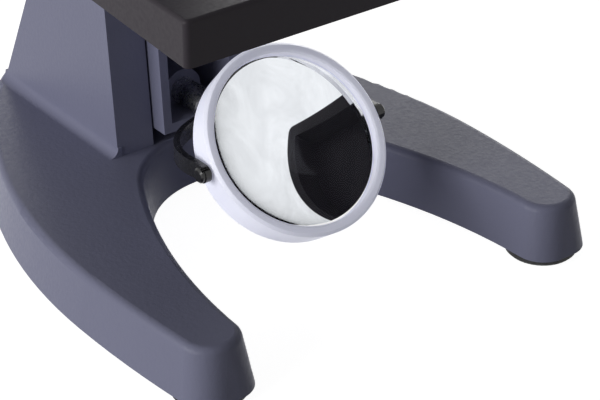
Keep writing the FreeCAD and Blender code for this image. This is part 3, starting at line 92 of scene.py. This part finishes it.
def addNode(tree, kind, **values):
    # A value goes to the setting of its name, or else to the socket of its name.
    node = tree.nodes.new(kind)
    for key, value in values.items():
        if hasattr(node, key) and key not in node.inputs:
            setattr(node, key, value)
        else:
            node.inputs[key].default_value = value
    return node


def newGroup(name, inputs, outputs):
    group = bpy.data.node_groups.new(name, "ShaderNodeTree")
    for label, kind, start in inputs:
        socket = group.interface.new_socket(name=label, in_out="INPUT", socket_type=kind)
        socket.default_value = start
    for label, kind in outputs:
        group.interface.new_socket(name=label, in_out="OUTPUT", socket_type=kind)
    return group, group.nodes.new("NodeGroupInput"), group.nodes.new("NodeGroupOutput")


def placeGroup(tree, group):
    node = tree.nodes.new("ShaderNodeGroup")
    node.node_tree = group
    return node


# Surface of all painted, moulded and turned pieces: fine orange peel with slow changes of tone

peelPattern = {
    "slowScale": 22,
    "slowDetail": 3,
    "grainDetail": 2,
    "grainRange": (0.3, 0.7),             # the part of the noise that spreads the roughness
}


def makePeelGroup(pattern):
    group, entry, leaving = newGroup(
        "orangePeel",
        [("Colour", "NodeSocketColor", (0.2, 0.2, 0.3, 1)), ("Shade", "NodeSocketColor", (0.1, 0.1, 0.15, 1)),
         ("Grain Scale", "NodeSocketFloat", 900), ("Roughness Low", "NodeSocketFloat", 0.3),
         ("Roughness High", "NodeSocketFloat", 0.45)],
        [("Colour", "NodeSocketColor"), ("Roughness", "NodeSocketFloat"), ("Height", "NodeSocketFloat")])
    links = group.links
    place = group.nodes.new("ShaderNodeTexCoord")
    slow = addNode(group, "ShaderNodeTexNoise", Scale=pattern["slowScale"], Detail=pattern["slowDetail"])
    grain = addNode(group, "ShaderNodeTexNoise", Detail=pattern["grainDetail"])
    links.new(place.outputs["Object"], slow.inputs["Vector"])
    links.new(place.outputs["Object"], grain.inputs["Vector"])
    links.new(entry.outputs["Grain Scale"], grain.inputs["Scale"])
    tone = addNode(group, "ShaderNodeMix", data_type="RGBA")
    links.new(slow.outputs["Fac"], tone.inputs["Factor"])
    links.new(entry.outputs["Shade"], tone.inputs[firstColour])
    links.new(entry.outputs["Colour"], tone.inputs[secondColour])
    spread = addNode(group, "ShaderNodeMapRange")
    links.new(grain.outputs["Fac"], spread.inputs["Value"])
    low, high = pattern["grainRange"]
    setInputs(spread, {"From Min": low, "From Max": high})
    links.new(entry.outputs["Roughness Low"], spread.inputs["To Min"])
    links.new(entry.outputs["Roughness High"], spread.inputs["To Max"])
    links.new(tone.outputs[mixedColour], leaving.inputs["Colour"])
    links.new(spread.outputs["Result"], leaving.inputs["Roughness"])
    links.new(grain.outputs["Fac"], leaving.inputs["Height"])
    return group


peelGroup = makePeelGroup(peelPattern)

paintGrain = 900
metalBump = 0.05
metalShade = 0.9              # a metal's darker tone, as a share of its colour
peelDepth = 0.0002            # m

# colour, darker tone, roughness from and to, bump, grain, and what else the shader needs
coatings = {
    "bodyPaint": ((0.168, 0.172, 0.245), (0.147, 0.151, 0.220), (0.34, 0.48), 0.3, paintGrain,
                  {"Specular IOR Level": 0.14}),
    "stagePaint": ((0.032, 0.027, 0.033), (0.025, 0.021, 0.027), (0.36, 0.5), 0.1, paintGrain,
                   {"Specular IOR Level": 0.12}),
    "darkPaint": ((0.012, 0.012, 0.013), (0.008, 0.008, 0.009), (0.18, 0.3), 0.1, paintGrain, {}),
    # The bowl's emission is a painted glow that makes the pale plastic brighter than the lamps and its
    # translucency make it.
    "bowlPlasticPaintedGlow": ((0.84, 0.85, 0.97), (0.81, 0.82, 0.95), (0.3, 0.36), 0.03, 90,
                    {"Subsurface Weight": 0.5, "Subsurface Radius": (1, 1, 1), "Subsurface Scale": 0.004,
                     "Emission Color": (0.78, 0.80, 1, 1), "Emission Strength": 0.24}),
    "rubberSkin": ((0.012, 0.012, 0.013), (0.008, 0.008, 0.009), (0.6, 0.8), 0.6, paintGrain, {}),
    "knobPlastic": ((0.03, 0.03, 0.033), (0.02, 0.02, 0.023), (0.35, 0.5), 0.4, paintGrain, {}),
}

# colour, roughness from and to, grain
metals = {
    "turnedSteel": ((0.56, 0.56, 0.58), (0.22, 0.34), 1400),
    "brightPlating": ((0.75, 0.76, 0.78), (0.06, 0.14), 700),
    "turnedBrass": ((0.66, 0.47, 0.2), (0.22, 0.34), 1400),
}


def coatedMaterial(name, colour, shade, roughness, bump, grain, extra):
    material, tree, shader = newMaterial(name)
    peel = placeGroup(tree, peelGroup)
    setInputs(peel, {"Colour": (*colour, 1), "Shade": (*shade, 1), "Grain Scale": grain,
                     "Roughness Low": roughness[0], "Roughness High": roughness[1]})
    relief = addNode(tree, "ShaderNodeBump", Strength=bump, Distance=peelDepth)
    tree.links.new(peel.outputs["Colour"], shader.inputs["Base Color"])
    tree.links.new(peel.outputs["Roughness"], shader.inputs["Roughness"])
    tree.links.new(peel.outputs["Height"], relief.inputs["Height"])
    tree.links.new(relief.outputs["Normal"], shader.inputs["Normal"])
    setInputs(shader, extra)
    return material


materials = {name: coatedMaterial(name, *values) for name, values in coatings.items()}
for name, (colour, roughness, grain) in metals.items():
    shade = [part * metalShade for part in colour]
    materials[name] = coatedMaterial(name, colour, shade, roughness, metalBump, grain, {"Metallic": 1})

# Coated glass of the lenses and the mirror

opticalGlass = {
    "Base Color": (0.95, 0.98, 1, 1),
    "Roughness": 0,
    "Specular Tint": (0.1, 0.1, 0.14, 1),
    "Transmission Weight": 1,
    "IOR": 1.5,
}


def glassMaterial(values):
    material, tree, shader = newMaterial("opticalGlass")
    setInputs(shader, values)
    return material


glass = glassMaterial(opticalGlass)

# Silvering: bright, with faint cloudy streaks down the glass

silverStreaks = {
    "turn": (-48, 0, -12),                # degrees, along the mirror's face
    "stretch": (1.0, 0.35, 1.0),
    "detail": 5,
    "breakUp": 0.6,
    "distortion": 1.2,
    "cloudRange": (0.35, 0.62),
    "roughness": (0.004, 0.02),
}


def makeStreakGroup(streaks):
    group, entry, leaving = newGroup(
        "silverStreaks",
        [("Bright", "NodeSocketColor", (0.95, 0.95, 0.97, 1)), ("Dull", "NodeSocketColor", (0.8, 0.8, 0.82, 1)),
         ("Scale", "NodeSocketFloat", 60)],
        [("Colour", "NodeSocketColor"), ("Roughness", "NodeSocketFloat")])
    links = group.links
    place = group.nodes.new("ShaderNodeTexCoord")
    turn = group.nodes.new("ShaderNodeMapping")
    setInputs(turn, {"Rotation": [math.radians(angle) for angle in streaks["turn"]],
                     "Scale": streaks["stretch"]})
    cloud = addNode(group, "ShaderNodeTexNoise", Detail=streaks["detail"], Roughness=streaks["breakUp"],
                    Distortion=streaks["distortion"])
    links.new(place.outputs["Object"], turn.inputs["Vector"])
    links.new(turn.outputs["Vector"], cloud.inputs["Vector"])
    links.new(entry.outputs["Scale"], cloud.inputs["Scale"])
    spread = addNode(group, "ShaderNodeMapRange")
    setInputs(spread, {"From Min": streaks["cloudRange"][0], "From Max": streaks["cloudRange"][1]})
    links.new(cloud.outputs["Fac"], spread.inputs["Value"])
    tone = addNode(group, "ShaderNodeMix", data_type="RGBA")
    links.new(spread.outputs["Result"], tone.inputs["Factor"])
    links.new(entry.outputs["Dull"], tone.inputs[firstColour])
    links.new(entry.outputs["Bright"], tone.inputs[secondColour])
    haze = addNode(group, "ShaderNodeMapRange")
    setInputs(haze, {"To Min": streaks["roughness"][0], "To Max": streaks["roughness"][1]})
    links.new(cloud.outputs["Fac"], haze.inputs["Value"])
    links.new(tone.outputs[mixedColour], leaving.inputs["Colour"])
    links.new(haze.outputs["Result"], leaving.inputs["Roughness"])
    return group


def silverMaterial(streaks):
    material, tree, shader = newMaterial("silvering")
    placed = placeGroup(tree, makeStreakGroup(streaks))
    tree.links.new(placed.outputs["Colour"], shader.inputs["Base Color"])
    tree.links.new(placed.outputs["Roughness"], shader.inputs["Roughness"])
    setInputs(shader, {"Metallic": 1})
    return material


silvering = silverMaterial(silverStreaks)

# Finishes: each solid gets the material of its slot, and two things are darker than their slots say

finishes = {
    "body_paint": materials["bodyPaint"], "dark_steel": materials["darkPaint"],
    "bright_steel": materials["turnedSteel"], "chromed": materials["brightPlating"],
    "brass": materials["turnedBrass"], "foot_rubber": materials["rubberSkin"],
    "bowl_plastic": materials["bowlPlasticPaintedGlow"], "knob_plastic": materials["knobPlastic"],
    "silvering": silvering, "optical_glass": glass,
}
darkerFinishes = {"stage": materials["stagePaint"], "pivot_pins": materials["darkPaint"]}


def dress(name, finish):
    for materialSlot in nodes[name].material_slots:
        materialSlot.material = finish


for row in frame["record"]["subparts"]:
    dress(row["node"], finishes[row["material_slot"]])
for name, finish in darkerFinishes.items():
    dress(name, finish)
print("finishes set")

# Mirror glass: round, with a flat face and a silvered bulging back, so that it works as a hollow mirror

mirrorGlass = {
    "middle": (0, -38.4025, 35.9),        # mm, on the pivots' line
    "tilt": 48,                           # degrees the bowl leans towards the front
    "radius": 25.2,
    "back": -2.8,                         # mm along the bowl's own axis
    "front": 1.6,
    "bulgeRadii": (180.5, 104.3),         # the back is a little oval, as a cheap pressed one is
    "bulgeTurn": 19.0,                    # degrees from the pivots' line to the longer radius
    "bulgeLevel": -2.392,                 # the back at its middle, along the bowl's axis
    "lean": (2.9, 2.27),                  # degrees the back faces to the side and to the rear
    "silverEdge": 0.6,                    # mm of silver that comes round onto the face
    "ballHeight": 100,                    # mm, half the height of the oval ball that shapes the back
    "sides": 144,
    "rings": 220,
    "smoothAngle": 30,                    # degrees
    "flatness": 0.999,                    # least upward part of the normal of the flat face
    "slack": 0.01,                        # mm that the flat face may lie too low
}


def bringHome(piece):
    # The object's place goes into its mesh.
    bpy.ops.object.select_all(action="DESELECT")
    piece.select_set(True)
    bpy.context.view_layer.objects.active = piece
    bpy.ops.object.transform_apply(location=True, rotation=True, scale=True)


def keepInside(piece, tool):
    # Only what of the piece lies inside the tool is left.
    bpy.context.view_layer.objects.active = piece
    cut = piece.modifiers.new("cut", "BOOLEAN")
    cut.operation = "INTERSECT"
    cut.object = tool
    cut.solver = "EXACT"
    bpy.ops.object.modifier_apply(modifier=cut.name)
    bpy.data.objects.remove(tool, do_unlink=True)


def makeBall(facts):
    # The oval ball stands on the middle of the glass's back and leans with it.
    height = facts["ballHeight"]
    long, short = (math.sqrt(height * radius) for radius in facts["bulgeRadii"])
    bpy.ops.object.select_all(action="DESELECT")
    bpy.ops.mesh.primitive_uv_sphere_add(segments=facts["sides"], ring_count=facts["rings"], radius=mm)
    ball = bpy.context.object
    ball.scale = (long, short, height)
    ball.rotation_euler = (0, 0, math.radians(facts["bulgeTurn"]))
    ball.location = (0, 0, height * mm)
    bringHome(ball)
    side, rear = (math.radians(angle) for angle in facts["lean"])
    ball.rotation_euler = (-rear, side, 0)
    ball.location = (0, 0, facts["bulgeLevel"] * mm)
    bringHome(ball)
    return ball


def partFace(piece, facts):
    # The flat face becomes glass, inside a thin ring that stays silvered.
    justBelow = (facts["front"] - facts["slack"]) * mm
    bpy.ops.object.select_all(action="DESELECT")
    piece.select_set(True)
    bpy.ops.object.mode_set(mode="EDIT")
    bpy.ops.mesh.select_mode(type="FACE")
    bpy.ops.mesh.select_all(action="DESELECT")
    bpy.ops.object.mode_set(mode="OBJECT")
    for flat in piece.data.polygons:
        flat.select = flat.normal.z > facts["flatness"] and flat.center.z > justBelow
    bpy.ops.object.mode_set(mode="EDIT")
    bpy.ops.mesh.inset(thickness=facts["silverEdge"] * mm)
    bpy.ops.object.mode_set(mode="OBJECT")
    for flat in piece.data.polygons:
        flat.material_index = 1 if flat.select else 0


def makeMirrorGlass(facts):
    bpy.ops.object.select_all(action="DESELECT")
    front, back = facts["front"], facts["back"]
    bpy.ops.mesh.primitive_cylinder_add(vertices=facts["sides"], radius=facts["radius"] * mm,
                                        depth=(front - back) * mm, location=(0, 0, (front + back) / 2 * mm))
    glassPiece = bpy.context.object
    glassPiece.name = "mirrorGlass"
    bringHome(glassPiece)
    keepInside(glassPiece, makeBall(facts))
    partFace(glassPiece, facts)
    glassPiece.rotation_euler = (math.radians(facts["tilt"]), 0, 0)
    glassPiece.location = Vector(facts["middle"]) * mm
    bringHome(glassPiece)
    bpy.ops.object.shade_smooth_by_angle(angle=math.radians(facts["smoothAngle"]))
    slots = glassPiece.data.materials
    while len(slots) < 2:
        slots.append(silvering)
    slots[0], slots[1] = silvering, glass
    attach(glassPiece, "mirror")
    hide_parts("mirror_glass")
    print("mirror glass made")


makeMirrorGlass(mirrorGlass)

# Floor, light and surroundings

studio = {
    "floorSize": 6,                       # m
    "floorDrop": 0.0005,                  # m below the feet
    "floorGrey": (0.35, 0.35, 0.35, 1),
    "floorRoughness": 0.9,
    "floorGlow": 0.95,                    # what the floor adds for the camera and in reflections
    "fill": 0.12,                         # even light from all round
    "seen": 1.0,                          # how bright the surroundings look
}

# place, aim, size (all in m) and power (W)
softboxes = {
    "leftSoftbox": ((-1.4, 0.1, 0.42), (0, 0, 0.06), (1.3, 0.8), 20),
    "rearSoftbox": ((1.0, 1.1, 0.5), (0, 0, 0.08), (1.0, 0.7), 6),
}


def seenRays(tree):
    # 1 for camera, glossy and transmission rays
    rays = tree.nodes.new("ShaderNodeLightPath")
    seen = rays.outputs["Is Camera Ray"]
    for other in ("Is Glossy Ray", "Is Transmission Ray"):
        either = addNode(tree, "ShaderNodeMath", operation="MAXIMUM")
        tree.links.new(seen, either.inputs[0])
        tree.links.new(rays.outputs[other], either.inputs[1])
        seen = either.outputs[0]
    return seen


def addFloor(facts):
    bpy.ops.object.select_all(action="DESELECT")
    bpy.ops.mesh.primitive_plane_add(size=facts["floorSize"], location=(0, 0, -facts["floorDrop"]))
    floor = bpy.context.object
    floor.name = "floor"
    material, tree, shader = newMaterial("floorPaper")
    setInputs(shader, {"Base Color": facts["floorGrey"], "Roughness": facts["floorRoughness"],
                       "Specular IOR Level": 0, "Emission Color": white})
    strength = addNode(tree, "ShaderNodeMath", operation="MULTIPLY")
    tree.links.new(seenRays(tree), strength.inputs[0])
    strength.inputs[1].default_value = facts["floorGlow"]
    tree.links.new(strength.outputs[0], shader.inputs["Emission Strength"])
    floor.data.materials.append(material)


def addSurroundings(facts):
    world = bpy.data.worlds.new("studio")
    bpy.context.scene.world = world
    world.use_nodes = True
    tree = world.node_tree
    background = tree.nodes["Background"]
    background.inputs["Color"].default_value = white
    level = addNode(tree, "ShaderNodeMix", data_type="FLOAT")
    tree.links.new(seenRays(tree), level.inputs["Factor"])
    setInputs(level, {"A": facts["fill"], "B": facts["seen"]})
    tree.links.new(level.outputs["Result"], background.inputs["Strength"])


def addSoftbox(name, place, aim, size, power):
    direction = (Vector(aim) - Vector(place)).normalized()
    bpy.ops.object.select_all(action="DESELECT")
    bpy.ops.object.light_add(type="AREA", location=place,
                             rotation=direction.to_track_quat("-Z", "Y").to_euler())
    lamp = bpy.context.object
    lamp.name = name
    lamp.data.shape = "RECTANGLE"
    lamp.data.size, lamp.data.size_y = size
    lamp.data.energy = power


addFloor(studio)
addSurroundings(studio)
for name, values in softboxes.items():
    addSoftbox(name, *values)
print("lights placed")

# Settings

bpy.context.scene.view_settings.view_transform = "Standard"
